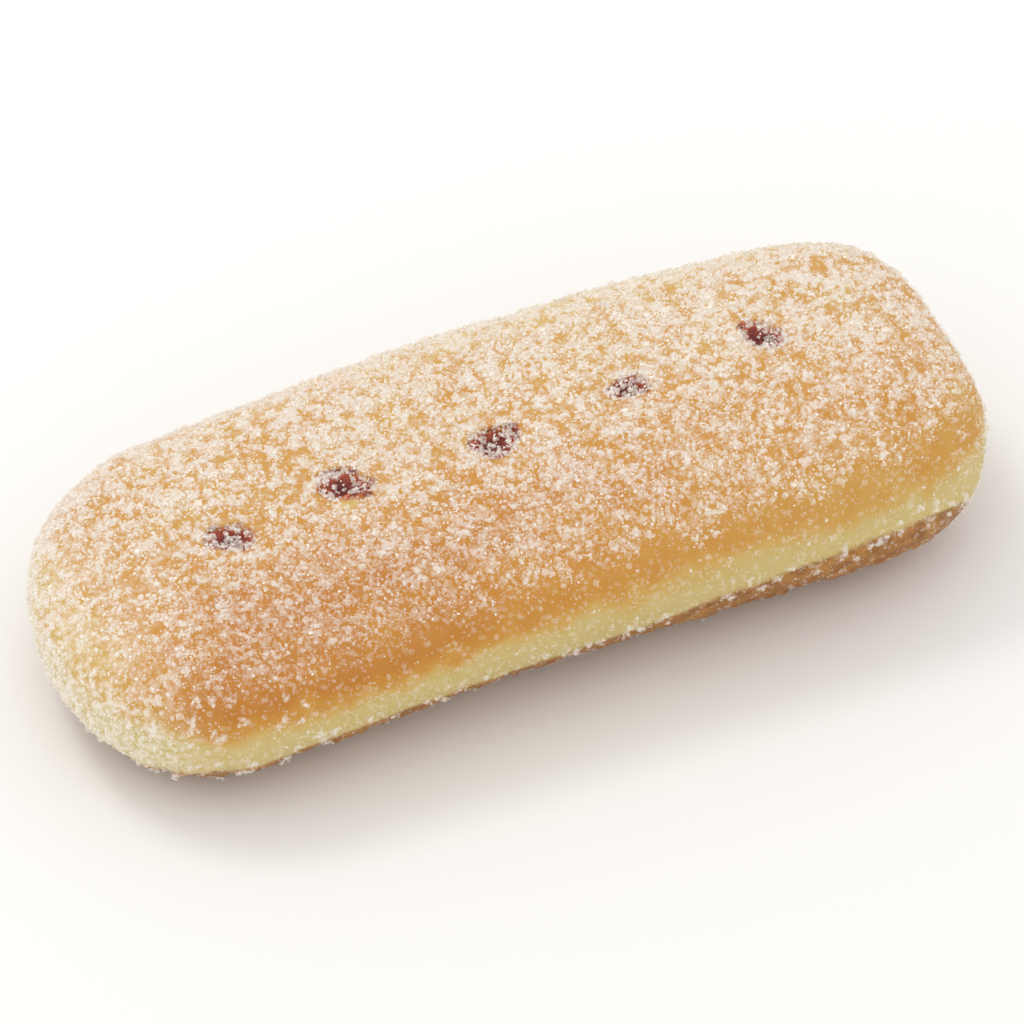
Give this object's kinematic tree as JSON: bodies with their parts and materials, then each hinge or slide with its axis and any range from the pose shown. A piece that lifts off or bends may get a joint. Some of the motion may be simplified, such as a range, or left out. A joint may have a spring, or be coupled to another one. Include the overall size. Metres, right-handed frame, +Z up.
{
  "type": "filled long john doughnut",
  "caption": "Long sugared bar doughnut with round ends, a pale line round its waist and dark red filling showing in small nozzle holes along its crown.",
  "frame": {"origin": "middle of the flattened base, under the middle of the bar's outline", "axes": "+X along the bar towards its taller, squarer end, +Y across it towards the bowed side, +Z up through the crown"},
  "size_m": [0.1414, 0.06, 0.0325],
  "materials": {
    "sugared_crust": "fried golden crust, rolled in granulated sugar",
    "red_filling": "dark red filling, wet sheen"
  },
  "bodies": {
    "root": {"dough": "sugared_crust", "filling_1": "red_filling", "filling_2": "red_filling", "filling_3": "red_filling", "filling_4": "red_filling", "filling_5": "red_filling"}
  },
  "joints": []
}
